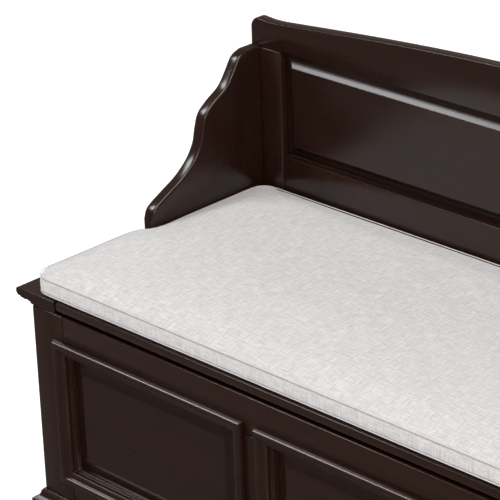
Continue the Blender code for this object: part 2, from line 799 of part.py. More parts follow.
def build_stay_lid_bracket(side, sign, lid):
    """An angle under the lid: a foot and a tab beside the upper arm's end."""
    pivot = stay_point(*STAY_LID_PIVOT)
    metal = STAY_METAL
    top = LID_BOTTOM - GAP
    start = STAY_PLANE - 2 * (STAY_PLATE + GAP) - GAP
    low = pivot[1] - 0.008
    outline = [(start, low), (start, top), (start - 0.020, top), (start - 0.020, top - metal)]
    outline += [(start - metal, top - metal), (start - metal, low)]
    bm = bmesh.new()
    add_prism(bm, [(sign * x, z) for x, z in outline], along_y(pivot[0] - 0.016, pivot[0] + 0.016))
    add_object(f"stay_lid_bracket_{side}", bm, "steel", lid)


def main():
    clear_scene()
    lid = add_empty("lid_axis", (0.0, y_at(HINGE_T), HINGE_Z))
    build_posts()
    build_front_frame()
    build_side_frames()
    build_floor_and_rear()
    build_plinth()
    build_base_mouldings()
    build_ledges()
    build_wings()
    build_back()
    build_lid(lid)
    build_bumpers()
    build_cushion(lid)
    build_hinge(lid)
    for side, sign in SIDES:
        build_stay(side, sign)
        build_stay_lid_bracket(side, sign, lid)


main()
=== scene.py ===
"""Storage bench: finishes for its woodwork and fittings, its seat cushion, its screws and the studio."""

import math

import bmesh
import bpy
import numpy as np
from mathutils import Matrix, Vector
from mathutils.bvhtree import BVHTree


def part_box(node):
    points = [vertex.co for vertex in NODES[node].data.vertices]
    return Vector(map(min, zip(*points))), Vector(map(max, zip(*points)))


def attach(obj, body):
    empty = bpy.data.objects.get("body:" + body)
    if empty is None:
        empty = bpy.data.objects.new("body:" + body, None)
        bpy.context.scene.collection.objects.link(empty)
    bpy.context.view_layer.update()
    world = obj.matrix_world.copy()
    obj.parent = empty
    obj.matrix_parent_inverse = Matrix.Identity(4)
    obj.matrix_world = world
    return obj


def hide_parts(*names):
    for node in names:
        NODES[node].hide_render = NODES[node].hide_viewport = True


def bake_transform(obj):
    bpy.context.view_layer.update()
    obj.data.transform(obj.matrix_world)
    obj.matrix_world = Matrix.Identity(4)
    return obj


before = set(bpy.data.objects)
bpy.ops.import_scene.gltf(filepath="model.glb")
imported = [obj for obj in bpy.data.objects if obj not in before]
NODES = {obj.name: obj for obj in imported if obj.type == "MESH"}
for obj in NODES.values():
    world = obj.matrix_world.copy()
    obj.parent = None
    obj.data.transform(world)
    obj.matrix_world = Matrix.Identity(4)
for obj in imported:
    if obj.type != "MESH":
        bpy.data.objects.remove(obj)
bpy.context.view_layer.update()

bl_info = {
    "name": "Storage Bench",
    "version": (1, 0, 0),
    "blender": (4, 5, 0),
    "location": "3D View > Sidebar > Bench",
    "description": "Lacquers, upholsters and lights the storage bench",
    "category": "Object",
}

INNER_WOOD = ("bottom_board", "rear_board", "lid_batten_left", "lid_batten_right")
RUBBER = ("lid_bumper_left", "lid_bumper_right")
STEEL_WORDS = ("hinge_leaf", "hinge_pin", "stay_")
CUSHION_NODES = ("seat_cushion", "seat_cushion_back_edge")

SMOOTH_ANGLE = 32
WELD_DISTANCE = 0.00001

WING_GAP = 0.0014
WAIST_LEAD = 0.025
WAIST_CLEARANCE = 0.004
FRONT_CORNER = 0.028
REAR_CORNER = 0.022
UNDERSIDE_SINK = 0.0012
LOWER_SEAM_RISE = 0.0042
UPPER_SEAM_DROP = 0.0062
CROWN_REACH = 0.09
CROWN_HEIGHT = 0.0042
RIPPLE_HEIGHT = 0.0007
SEAM_PRESS_DEPTH = 0.0008
SEAM_PRESS_REACH = 0.0036
SEAM_STEP = 0.006
SEAM_SEARCH = 0.02
SEAM_SINK = 0.0004
CUSHION_VOXEL = 0.005
CLOTH_STEPS = 20

SCREW_SIDES = 16
SEAM_SIDES = 6
FLOOR_HALF_SIZE = 30.0
BACKDROP_RADIUS = 24.0
BACKDROP_HEIGHT = 40.0
BACKDROP_SIDES = 96


# Sizes and colours a maker would change


class WoodSettings(bpy.types.PropertyGroup):
    stain: bpy.props.FloatVectorProperty(
        name="Stain", description="Colour of the dark stain", subtype="COLOR", size=3, min=0, max=1,
        default=(0.0155, 0.0060, 0.0036),
    )
    stain_light: bpy.props.FloatVectorProperty(
        name="Light grain", description="Colour of the lighter grain under the stain", subtype="COLOR",
        size=3, min=0, max=1, default=(0.0215, 0.0082, 0.0048),
    )
    # This colour serves both as stain thinned by handling on worn edges and as a painted highlight along
    # every edge.
    rubbed_and_highlight: bpy.props.FloatVectorProperty(
        name="Rubbed edge", description="Colour where handling has thinned the stain on an edge",
        subtype="COLOR", size=3, min=0, max=1, default=(0.110, 0.052, 0.036),
    )
    gloss_roughness: bpy.props.FloatProperty(
        name="Lacquer roughness", description="Roughness of the satin lacquer", default=0.26, min=0.05, max=1,
    )
    edge_radius: bpy.props.FloatProperty(
        name="Edge radius", description="Radius that sanding leaves on every edge", default=0.0016, min=0,
        unit="LENGTH",
    )
    plain_wood: bpy.props.FloatVectorProperty(
        name="Plain wood", description="Colour of the unstained boards inside", subtype="COLOR", size=3,
        min=0, max=1, default=(0.46, 0.30, 0.17),
    )


class FittingSettings(bpy.types.PropertyGroup):
    steel: bpy.props.FloatVectorProperty(
        name="Steel", description="Colour of the brushed steel", subtype="COLOR", size=3, min=0, max=1,
        default=(0.52, 0.50, 0.47),
    )
    rubber: bpy.props.FloatVectorProperty(
        name="Rubber", description="Colour of the bumpers", subtype="COLOR", size=3, min=0, max=1,
        default=(0.020, 0.020, 0.021),
    )
    screw_head: bpy.props.FloatProperty(
        name="Screw head", description="Diameter of a stay bracket screw's head", default=0.0052, min=0.002,
        unit="LENGTH",
    )


class CushionSettings(bpy.types.PropertyGroup):
    linen: bpy.props.FloatVectorProperty(
        name="Linen", description="Colour of the cushion's linen", subtype="COLOR", size=3, min=0, max=1,
        default=(0.632, 0.630, 0.632),
    )
    thread: bpy.props.FloatProperty(
        name="Thread", description="Spacing of the linen's threads", default=0.0013, min=0.0003,
        unit="LENGTH",
    )
    fill_pressure: bpy.props.FloatProperty(
        name="Fill pressure", description="Pressure of the foam on its cover", default=4.0, min=0,
    )
    swell: bpy.props.FloatProperty(
        name="Swell", description="The furthest the cover may move as it fills", default=0.0045, min=0,
        unit="LENGTH",
    )
    edge_radius: bpy.props.FloatProperty(
        name="Edge radius", description="Radius of the cushion's upper edge", default=0.0095, min=0,
        unit="LENGTH",
    )
    seam: bpy.props.FloatProperty(
        name="Seam", description="Half thickness of the folded seam", default=0.0007, min=0.0002,
        unit="LENGTH",
    )


class StudioSettings(bpy.types.PropertyGroup):
    floor: bpy.props.FloatVectorProperty(
        name="Floor", description="Colour of the pale floor", subtype="COLOR", size=3, min=0, max=1,
        default=(0.98, 0.98, 0.98),
    )
    sky: bpy.props.FloatProperty(
        name="Fill light", description="Strength of the light from all round", default=0.17, min=0,
    )
    sky_tint: bpy.props.FloatVectorProperty(
        name="Fill tint", description="Colour of the light from all round", subtype="COLOR", size=3, min=0,
        max=1, default=(1.0, 0.88, 0.83),
    )
    lens: bpy.props.FloatProperty(
        name="Lens", description="Focal length in millimetres", default=177.2, min=10,
    )
    camera_place: bpy.props.FloatVectorProperty(
        name="Camera", description="Where the camera stands", subtype="TRANSLATION", unit="LENGTH", size=3,
        default=(1.6867, -2.0539, 1.7755),
    )
    camera_turn: bpy.props.FloatVectorProperty(
        name="Camera turn", description="Turn about Z, tilt down and roll of the camera", size=3,
        default=(45.25, 24.23, -2.0),
    )


# Laying out a material's nodes


class Finish:
    """A material with short calls for its nodes."""

    def __init__(self, name, roughness=0.5, **sockets):
        self.material = bpy.data.materials.new(name)
        self.material.use_nodes = True
        self.tree = self.material.node_tree
        self.shader = self.tree.nodes["Principled BSDF"]
        self.set("Roughness", roughness)
        for socket, value in sockets.items():
            self.set(socket.replace("_", " "), value)

    def set(self, socket, value):
        self.put(self.shader.inputs[socket], value)

    def put(self, socket, value):
        if isinstance(value, bpy.types.NodeSocket):
            self.tree.links.new(value, socket)
        elif socket.type == "RGBA" and len(value) == 3:
            socket.default_value = (*value, 1.0)
        else:
            socket.default_value = value

    def node(self, kind, inputs=None, **settings):
        node = self.tree.nodes.new(kind)
        for key, value in settings.items():
            setattr(node, key, value)
        for key, value in (inputs or {}).items():
            self.put(node.inputs[key], value)
        return node

    def math(self, operation, a, b=0.0, c=None):
        inputs = {0: a, 1: b}
        if c is not None:
            inputs[2] = c
        return self.node("ShaderNodeMath", inputs, operation=operation).outputs[0]

    def place(self, stretch=(1, 1, 1), shift=(0, 0, 0)):
        """Places in the object's own space, so that a pattern stays on its piece when the piece moves."""
        where = self.node("ShaderNodeTexCoord").outputs["Object"]
        mapped = {"Vector": where, "Scale": stretch, "Location": shift}
        return self.node("ShaderNodeMapping", mapped).outputs[0]

    def noise(self, where, scale, detail=2.0, rough=0.5, bend=0.0):
        inputs = {"Vector": where, "Scale": scale, "Detail": detail, "Roughness": rough, "Distortion": bend}
        return self.node("ShaderNodeTexNoise", inputs).outputs[0]

    def between(self, value, low, high, out_low=0.0, out_high=1.0):
        inputs = {0: value, 1: low, 2: high, 3: out_low, 4: out_high}
        return self.node("ShaderNodeMapRange", inputs).outputs[0]

    def mix(self, factor, a, b):
        node = self.node("ShaderNodeMix", data_type="RGBA")
        self.put(node.inputs["Factor"], factor)
        self.put(node.inputs[6], a)
        self.put(node.inputs[7], b)
        return node.outputs[2]

    def bump(self, height, distance, strength=1.0, normal=None):
        inputs = {"Height": height, "Distance": distance, "Strength": strength}
        if normal is not None:
            inputs["Normal"] = normal
        return self.node("ShaderNodeBump", inputs).outputs[0]


def along(axis, lengthwise, across):
    """A stretch that draws a pattern out along one axis."""
    return tuple(lengthwise if i == axis else across for i in range(3))


def stained_wood(settings, axis):
    """Espresso stain under satin lacquer, its grain running along the given axis."""
    wood = Finish(
        f"espresso_lacquer_{'xyz'[axis]}", settings.gloss_roughness,
        Coat_Weight=0.55, Coat_Roughness=0.20, Coat_IOR=1.5, Specular_IOR_Level=0.16,
    )
    broad = wood.noise(wood.place(along(axis, 0.9, 11)), 1.0, 3.0, 0.55, 0.7)
    figure = wood.noise(wood.place(along(axis, 3.0, 95), shift=(0.3, 0.7, 0.1)), 1.0, 4.0, 0.6, 0.4)
    pores = wood.noise(wood.place(along(axis, 28, 1150)), 1.0, 2.0, 0.7)
    tone = wood.math("MULTIPLY_ADD", figure, 0.55, wood.math("MULTIPLY", broad, 0.45))
    colour = wood.mix(wood.between(tone, 0.36, 0.66), settings.stain, settings.stain_light)
    pore = wood.between(pores, 0.60, 0.74)
    colour = wood.mix(wood.math("MULTIPLY", pore, 0.30), colour, [c * 0.45 for c in settings.stain])
    # Lighter, redder edges: partly stain rubbed thin by handling, partly a painted highlight along every
    # edge, placed where the eased normal turns away from the flat one.
    eased = wood.node("ShaderNodeBevel", {"Radius": settings.edge_radius}, samples=6).outputs[0]
    flat = wood.node("ShaderNodeNewGeometry").outputs["True Normal"]
    turn = wood.node("ShaderNodeVectorMath", {0: eased, 1: flat}, operation="DOT_PRODUCT").outputs["Value"]
    handled = wood.noise(wood.place((1, 1, 1)), 26.0, 3.0, 0.65)
    rubbed_and_highlight = wood.math("MULTIPLY", wood.between(turn, 0.985, 0.86), wood.between(handled, 0.35, 0.62))
    colour = wood.mix(wood.math("MULTIPLY", rubbed_and_highlight, 0.65), colour, settings.rubbed_and_highlight)
    wood.set("Base Color", colour)
    smudges = wood.noise(wood.place((1, 1, 1), shift=(4, 2, 7)), 7.0, 4.0, 0.6)
    rough = wood.between(smudges, 0.3, 0.7, settings.gloss_roughness - 0.045, settings.gloss_roughness + 0.05)
    wood.set("Roughness", wood.math("ADD", rough, wood.math("MULTIPLY", pore, 0.12)))
    ripple = wood.noise(wood.place((1, 1, 1)), 240.0, 1.0)
    relief = wood.math("MULTIPLY_ADD", pore, -0.55, wood.math("MULTIPLY", figure, 0.15))
    grained = wood.bump(relief, 0.00010, 0.22, eased)
    wood.set("Normal", wood.bump(ripple, 0.00004, 0.10, grained))
    wood.set("Coat Normal", wood.bump(ripple, 0.00004, 0.08, eased))
    return wood.material


def plain_wood(settings, axis):
    """Bare, sanded wood for the boards inside."""
    wood = Finish(f"plain_wood_{'xyz'[axis]}", 0.62, Specular_IOR_Level=0.35)
    rings = wood.noise(wood.place(along(axis, 1.3, 26)), 1.0, 4.0, 0.6, 1.4)
    streaks = wood.noise(wood.place(along(axis, 6, 420), shift=(1, 3, 5)), 1.0, 3.0, 0.6)
    tone = wood.math("MULTIPLY_ADD", rings, 0.6, wood.math("MULTIPLY", streaks, 0.4))
    dark = [c * 0.62 for c in settings.plain_wood]
    light = [min(1.0, c * 1.22) for c in settings.plain_wood]
    wood.set("Base Color", wood.mix(wood.between(tone, 0.34, 0.66), dark, light))
    wood.set("Roughness", wood.between(streaks, 0.3, 0.7, 0.55, 0.74))
    wood.set("Normal", wood.bump(streaks, 0.0002, 0.4))
    return wood.material


def brushed_steel(settings):
    """Steel brushed along X, with faint handling marks."""
    steel = Finish("brushed_steel", 0.32, Metallic=1.0, Anisotropic=0.35)
    brushing = steel.noise(steel.place((25, 1800, 1800)), 1.0, 3.0, 0.65)
    marks = steel.noise(steel.place(shift=(2, 5, 1)), 60.0, 4.0, 0.6)
    dull = [c * 0.72 for c in settings.steel]
    steel.set("Base Color", steel.mix(steel.between(marks, 0.35, 0.65), dull, settings.steel))
    steel.set("Roughness", steel.between(brushing, 0.3, 0.7, 0.24, 0.42))
    eased = steel.node("ShaderNodeBevel", {"Radius": 0.0005}, samples=4).outputs[0]
    steel.set("Normal", steel.bump(brushing, 0.00004, 0.5, eased))
    return steel.material


def bumper_rubber(settings):
    """Moulded rubber with a fine matt skin."""
    rubber = Finish("bumper_rubber", 0.7, Specular_IOR_Level=0.4)
    bloom = rubber.noise(rubber.place(), 300.0, 3.0, 0.6)
    worn = [c * 2.2 for c in settings.rubber]
    rubber.set("Base Color", rubber.mix(rubber.between(bloom, 0.4, 0.7), settings.rubber, worn))
    rubber.set("Roughness", rubber.between(bloom, 0.3, 0.7, 0.6, 0.82))
    rubber.set("Normal", rubber.bump(bloom, 0.0001, 0.5))
    return rubber.material


def slub_linen(settings):
    """Plain-woven linen: two sets of threads, slubs along each, and a faint fuzz."""
    linen = Finish(
        "slub_linen", 0.88, Sheen_Weight=0.22, Sheen_Roughness=0.45, Specular_IOR_Level=0.22,
    )
    coords = linen.node("ShaderNodeTexCoord")
    where = linen.node("ShaderNodeSeparateXYZ", {0: coords.outputs["Object"]}).outputs
    facing = linen.node("ShaderNodeSeparateXYZ", {0: coords.outputs["Normal"]}).outputs
    side = linen.math("GREATER_THAN", linen.math("ABSOLUTE", facing[0]), 0.70)
    front = linen.math("GREATER_THAN", linen.math("ABSOLUTE", facing[1]), 0.70)
    across = linen.math("MULTIPLY_ADD", where[2], side, where[0])
    down = linen.math("MULTIPLY_ADD", where[2], front, where[1])
    cloth = linen.node("ShaderNodeCombineXYZ", {0: across, 1: down}).outputs[0]

    def stretched(x, y, shift, detail=2.0, rough=0.6):
        """Noise drawn out along one set of threads."""
        mapped = {"Vector": cloth, "Scale": (x, y, 1), "Location": shift}
        return linen.noise(linen.node("ShaderNodeMapping", mapped).outputs[0], 1.0, detail, rough)

    turns = 2 * math.pi / settings.thread
    wander_x = linen.math("MULTIPLY", stretched(22, 90, (3, 1, 0)), 5.0)
    wander_y = linen.math("MULTIPLY", stretched(90, 22, (7, 9, 0)), 5.0)
    warp = linen.math("SINE", linen.math("ADD", linen.math("MULTIPLY", across, turns), wander_x))
    weft = linen.math("SINE", linen.math("ADD", linen.math("MULTIPLY", down, turns), wander_y))
    over = linen.math("MULTIPLY", warp, weft)
    hatch_x = stretched(48, 560, (0, 2, 0), 2.5, 0.62)
    hatch_y = stretched(560, 48, (5, 0, 0), 2.5, 0.62)
    slub_x = stretched(26, 480, (1, 8, 0), 2.0)
    slub_y = stretched(480, 26, (6, 4, 0), 2.0)
    cloud = stretched(5, 7, (9, 9, 0), 3.0)
    fleck = stretched(210, 260, (4, 4, 0), 2.0, 0.7)
    crossed = linen.math("ADD", hatch_x, hatch_y)
    hatch = linen.math("MULTIPLY_ADD", crossed, 0.40, linen.math("MULTIPLY", fleck, 0.20))
    light_slub = linen.math("MAXIMUM", linen.between(slub_x, 0.62, 0.74), linen.between(slub_y, 0.62, 0.74))
    dark_slub = linen.math("MAXIMUM", linen.between(slub_x, 0.38, 0.28), linen.between(slub_y, 0.38, 0.28))
    base = settings.linen
    cloud_dark = [c * 0.96 for c in base]
    cloud_light = [min(1, c * 1.03) for c in base]
    colour = linen.mix(linen.between(cloud, 0.35, 0.65), cloud_dark, cloud_light)
    pale = [min(1.0, c * 1.24) for c in base]
    grey = (base[0] * 0.72, base[1] * 0.71, base[2] * 0.72)
    colour = linen.mix(linen.between(hatch, 0.40, 0.58, 0.62, 0.0), colour, grey)
    colour = linen.mix(linen.between(hatch, 0.47, 0.62, 0.0, 0.70), colour, pale)
    colour = linen.mix(linen.math("MULTIPLY", light_slub, 0.60), colour, pale)
    colour = linen.mix(linen.math("MULTIPLY", dark_slub, 0.50), colour, grey)
    shade = linen.between(over, -1.0, 1.0, 0.0, 0.24)
    colour = linen.mix(shade, colour, [c * 0.66 for c in base])
    linen.set("Base Color", colour)
    threads = linen.math("MULTIPLY_ADD", over, -0.35, linen.math("MULTIPLY", hatch, 1.6))
    relief = linen.math("ADD", threads, linen.math("MULTIPLY", stretched(700, 700, (2, 2, 0)), 0.5))
    linen.set("Normal", linen.bump(relief, 0.00035, 0.55))
    return linen.material


def seam_thread(settings):
    """Twisted sewing thread, a shade darker than the linen."""
    thread = Finish("seam_thread", 0.75, Sheen_Weight=0.2, Specular_IOR_Level=0.3)
    twist = thread.noise(thread.place(), 1500.0, 2.0)
    dark = [c * 0.80 for c in settings.linen]
    light = [c * 0.98 for c in settings.linen]
    thread.set("Base Color", thread.mix(twist, dark, light))
    thread.set("Normal", thread.bump(twist, 0.0001, 0.6))
    return thread.material


# Shared making


def ease_shading():
    """Node tools that weld a part's facets and shade it smooth, apart from its sharp edges."""
    tools = bpy.data.node_groups.new("ease_shading", "GeometryNodeTree")
    tools.interface.new_socket("Geometry", in_out="INPUT", socket_type="NodeSocketGeometry")
    tools.interface.new_socket("Geometry", in_out="OUTPUT", socket_type="NodeSocketGeometry")
    start = tools.nodes.new("NodeGroupInput")
    end = tools.nodes.new("NodeGroupOutput")
    forget = tools.nodes.new("GeometryNodeRemoveAttribute")
    forget.inputs["Name"].default_value = "custom_normal"
    weld = tools.nodes.new("GeometryNodeMergeByDistance")
    weld.inputs["Distance"].default_value = WELD_DISTANCE
    faces = tools.nodes.new("GeometryNodeSetShadeSmooth")
    edges = tools.nodes.new("GeometryNodeSetShadeSmooth")
    edges.domain = "EDGE"
    angle = tools.nodes.new("GeometryNodeInputMeshEdgeAngle")
    shallow = tools.nodes.new("FunctionNodeCompare")
    shallow.operation = "LESS_THAN"
    shallow.inputs[1].default_value = math.radians(SMOOTH_ANGLE)
    tools.links.new(start.outputs[0], forget.inputs[0])
    tools.links.new(forget.outputs[0], weld.inputs[0])
    tools.links.new(weld.outputs[0], faces.inputs[0])
    tools.links.new(faces.outputs[0], edges.inputs[0])
    tools.links.new(angle.outputs[0], shallow.inputs[0])
    tools.links.new(shallow.outputs[0], edges.inputs["Shade Smooth"])
    tools.links.new(edges.outputs[0], end.inputs[0])
    return tools


def coat(node, material):
    """Puts a finish on a CAD part."""
    part = NODES[node]
    for slot in part.material_slots:
        slot.material = material


def longest_axis(node):
    low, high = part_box(node)
    size = high - low
    return max(range(3), key=lambda i: size[i])


def new_piece(name, bm, material, body=None):
    """Makes a mesh piece from its geometry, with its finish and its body."""
    mesh = bpy.data.meshes.new(name)
    bm.to_mesh(mesh)
    bm.free()
    mesh.shade_smooth()
    mesh.materials.append(material)
    piece = bpy.data.objects.new(name, mesh)
    bpy.context.scene.collection.objects.link(piece)
    if body is not None:
        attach(piece, body)
    return piece


def tube(bm, points, radius, sides):
    """A closed loop of round thread swept along points."""
    count = len(points)
    rings = []
    for i, point in enumerate(points):
        ahead = (points[(i + 1) % count] - points[i - 1]).normalized()
        up = Vector((0, 0, 1)) - ahead * ahead.z
        up.normalize()
        out = ahead.cross(up)
        ring = []
        for k in range(sides):
            a = 2 * math.pi * k / sides
            ring.append(bm.verts.new(point + (out * math.cos(a) + up * math.sin(a)) * radius))
        rings.append(ring)
    for near, far in zip(rings, rings[1:] + rings[:1]):
        for k in range(sides):
            j = (k + 1) % sides
            bm.faces.new((near[k], far[k], far[j], near[j]))
    bmesh.ops.recalc_face_normals(bm, faces=bm.faces[:])


# Woodwork and fittings


class BENCH_OT_woodwork(bpy.types.Operator):
    """Stain and lacquer the woodwork, and leave the inner boards bare"""

    bl_idname = "bench.woodwork"
    bl_label = "Finish Woodwork"

    def execute(self, context):
        settings = context.scene.bench_wood
        stained = [stained_wood(settings, axis) for axis in range(3)]
        bare = [plain_wood(settings, axis) for axis in range(3)]
        tools = ease_shading()
        for node in sorted(NODES):
            if node in CUSHION_NODES:
                continue
            eased = NODES[node].modifiers.new("ease_shading", "NODES")
            eased.node_group = tools
            if node in INNER_WOOD:
                coat(node, bare[longest_axis(node)])
            elif node not in RUBBER and not node.startswith(STEEL_WORDS):
                coat(node, stained[longest_axis(node)])
        return {"FINISHED"}


class BENCH_OT_fittings(bpy.types.Operator):
    """Finish the hinge, the lid stays and the bumpers"""

    bl_idname = "bench.fittings"
    bl_label = "Finish Fittings"

    def execute(self, context):
        settings = context.scene.bench_fittings
        steel = brushed_steel(settings)
        rubber = bumper_rubber(settings)
        for node in sorted(NODES):
            if node.startswith(STEEL_WORDS):
                coat(node, steel)
            elif node in RUBBER:
                coat(node, rubber)
        return {"FINISHED"}


def screw_head(bm, place, toward, radius):
    """A domed countersunk head with a crossed recess, facing the way given."""
    part = bmesh.new()
    rings = []
    profile = ((1.0, 0.0), (0.97, 0.10), (0.80, 0.19), (0.52, 0.25), (0.30, 0.27))
    for reach, rise in profile:
        ring = []
        for k in range(SCREW_SIDES):
            a = 2 * math.pi * k / SCREW_SIDES
            out = reach * radius
            ring.append(part.verts.new((math.cos(a) * out, math.sin(a) * out, rise * radius)))
        rings.append(ring)
    for near, far in zip(rings, rings[1:]):
        for k in range(SCREW_SIDES):
            j = (k + 1) % SCREW_SIDES
            part.faces.new((near[k], near[j], far[j], far[k]))
    inner = rings[-1]
    recess = []
    for k, vert in enumerate(inner):
        reach = 1.15 if k % 4 == 0 else 0.38
        recess.append(part.verts.new((vert.co.x * reach * 0.8, vert.co.y * reach * 0.8, -0.10 * radius)))
    for k in range(SCREW_SIDES):
        j = (k + 1) % SCREW_SIDES
        part.faces.new((inner[k], inner[j], recess[j], recess[k]))
    part.faces.new(recess)
    part.faces.new(rings[0][::-1])
    turn = Vector((0, 0, 1)).rotation_difference(Vector(toward)).to_matrix().to_4x4()
    part.transform(Matrix.Translation(place) @ turn)
    part.normal_update()
    mesh = bpy.data.meshes.new("screw_head")
    part.to_mesh(mesh)
    part.free()
    bm.from_mesh(mesh)
    bpy.data.meshes.remove(mesh)


class BENCH_OT_screws(bpy.types.Operator):
    """Drive the screws that hold the stay brackets"""

    bl_idname = "bench.screws"
    bl_label = "Fit Screws"

    def execute(self, context):
        settings = context.scene.bench_fittings
        steel = bpy.data.materials["brushed_steel"]
        radius = settings.screw_head / 2
        for side, sign in (("left", -1), ("right", 1)):
            low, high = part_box(f"stay_bracket_{side}")
            bm = bmesh.new()
            face = low.x if sign > 0 else high.x
            middle = (low.y + high.y) / 2
            for place in ((low.z * 0.75 + high.z * 0.25), (low.z * 0.25 + high.z * 0.75)):
                screw_head(bm, Vector((face, middle, place)), (-sign, 0, 0), radius)
            new_piece(f"stay_bracket_screws_{side}", bm, steel, "root")
        return {"FINISHED"}


# Cushion


def cushion_sizes():
    """The cushion's extents, and where it narrows to pass between the wings."""
    low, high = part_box("seat_cushion")
    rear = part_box("seat_cushion_back_edge")[1].y
    wing_low, wing_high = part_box("wing_left")
    return {
        "wide": high.x, "front": low.y, "rear": rear, "bottom": low.z, "top": high.z,
        "narrow": -wing_high.x - WING_GAP,
        "waist_start": wing_low.y - WAIST_LEAD, "waist_end": wing_low.y - WAIST_CLEARANCE,
    }


def rounded_corner(centre, radius, start, end, steps):
    points = []
    for i in range(steps + 1):
        a = math.radians(start + (end - start) * i / steps)
        points.append((centre[0] + radius * math.cos(a), centre[1] + radius * math.sin(a)))
    return points


def cushion_outline(inset=0.0):
    """The cushion's outline in plan, anticlockwise, drawn in by inset."""
    size = cushion_sizes()
    wide, narrow = size["wide"] - inset, size["narrow"] - inset
    front, rear = size["front"] + inset, size["rear"] - inset
    start, end = size["waist_start"], size["waist_end"]
    right = rounded_corner((wide - FRONT_CORNER, front + FRONT_CORNER), FRONT_CORNER, -90, 0, 8)
    for i in range(9):
        u = i / 8
        ease = u * u * (2 - u)
        right.append((wide + (narrow - wide) * ease, start + (end - start) * u))
    right += rounded_corner((narrow - REAR_CORNER, rear - REAR_CORNER), REAR_CORNER, 0, 90, 6)
    left = [(-x, y) for x, y in reversed(right)]
    return right + left


def even_outline(outline, step):
    """The same closed outline with its points an even step apart."""
    points = [Vector((x, y, 0)) for x, y in outline]
    lengths = [(points[(i + 1) % len(points)] - points[i]).length for i in range(len(points))]
    count = max(8, round(sum(lengths) / step))
    spacing = sum(lengths) / count
    result = []
    i, gone = 0, 0.0
    for k in range(count):
        target = k * spacing
        while gone + lengths[i] < target and i < len(points) - 1:
            gone += lengths[i]
            i += 1
        u = 0 if lengths[i] == 0 else (target - gone) / lengths[i]
        result.append(points[i].lerp(points[(i + 1) % len(points)], min(1.0, u)))
    return result


def cushion_blank(settings, shrink):
    """The foam's closed form before it fills its cover: rounded edges and flat faces."""
    size = cushion_sizes()
    radius = settings.edge_radius
    bottom, top = size["bottom"] - UNDERSIDE_SINK + shrink, size["top"] - shrink
    levels = []
    for i in range(5):
        a = math.pi / 2 * i / 4
        levels.append((radius * 0.5 * (1 - math.sin(a)), bottom + radius * 0.5 * (1 - math.cos(a))))
    for i in range(6):
        a = math.pi / 2 * i / 5
        levels.append((radius * (1 - math.cos(a)), top - radius * (1 - math.sin(a))))
    bm = bmesh.new()
    loops = []
    for inset, height in levels:
        ring = cushion_outline(inset + shrink)
        loops.append([bm.verts.new((x, y, height)) for x, y in ring])
    count = len(loops[0])
    for near, far in zip(loops, loops[1:]):
        for k in range(count):
            j = (k + 1) % count
            bm.faces.new((near[k], near[j], far[j], far[k]))
    bm.faces.new(loops[0][::-1])
    bm.faces.new(loops[-1])
    bmesh.ops.recalc_face_normals(bm, faces=bm.faces[:])
    return bm


def seam_levels():
    """Heights of the seams that join the cushion's band to its lower and upper panels."""
    size = cushion_sizes()
    return size["bottom"] + LOWER_SEAM_RISE, size["top"] - UPPER_SEAM_DROP


def crown(x, y):
    """How much the foam stands up at a point of the cushion, from 0 at its edge to 1 in its middle."""
    size = cushion_sizes()
    u = np.clip((size["wide"] - np.abs(x)) / CROWN_REACH, 0, 1)
    v = np.clip(np.minimum(y - size["front"], size["rear"] - y) / CROWN_REACH, 0, 1)
    return np.sin(u * math.pi / 2) * np.sin(v * math.pi / 2)


def places_of(mesh):
    """The mesh's points as rows of an array."""
    flat = np.empty(len(mesh.vertices) * 3, np.float32)
    mesh.vertices.foreach_get("co", flat)
    return flat.reshape(-1, 3).astype(float)


def normals_of(mesh):
    flat = np.empty(len(mesh.vertices) * 3, np.float32)
    mesh.vertex_normals.foreach_get("vector", flat)
    return flat.reshape(-1, 3).astype(float)


def put_places(mesh, places):
    mesh.vertices.foreach_set("co", places.astype(np.float32).ravel())
    mesh.update()


def fill_with_cloth(piece, settings):
    """Fills the cover with a cloth simulation and keeps the result within the swell allowed."""
    scene = bpy.context.scene
    mesh = piece.data
    before = places_of(mesh)
    normals = normals_of(mesh)
    low_seam, high_seam = seam_levels()
    held = piece.vertex_groups.new(name="held")
    off_seam = np.minimum(np.abs(before[:, 2] - low_seam), np.abs(before[:, 2] - high_seam))
    sewn = (np.abs(normals[:, 2]) < 0.75) & (off_seam < 0.0022)
    resting = normals[:, 2] < -0.8
    held.add([int(i) for i in np.flatnonzero(sewn & ~resting)], 0.8, "REPLACE")
    held.add([int(i) for i in np.flatnonzero(resting)], 1.0, "REPLACE")
    cloth = piece.modifiers.new("fill", "CLOTH")
    cloth.settings.quality = 4
    cloth.settings.mass = 0.3
    cloth.settings.tension_stiffness = 14
    cloth.settings.compression_stiffness = 14
    cloth.settings.shear_stiffness = 8
    cloth.settings.bending_stiffness = 0.9
    cloth.settings.use_pressure = True
    cloth.settings.uniform_pressure_force = settings.fill_pressure
    cloth.settings.effector_weights.gravity = 0
    cloth.settings.vertex_group_mass = "held"
    cloth.settings.pin_stiffness = 1.0
    cloth.collision_settings.use_collision = False
    scene.frame_start = 1
    cloth.point_cache.frame_start = 1
    cloth.point_cache.frame_end = CLOTH_STEPS
    for step in range(1, CLOTH_STEPS + 1):
        scene.frame_set(step)
    filled = piece.evaluated_get(bpy.context.evaluated_depsgraph_get())
    move = places_of(filled.data) - before
    piece.modifiers.remove(cloth)
    scene.frame_set(1)
    length = np.linalg.norm(move, axis=1, keepdims=True)
    move *= np.minimum(1.0, settings.swell / np.maximum(length, 1e-9))
    put_places(mesh, before + move)


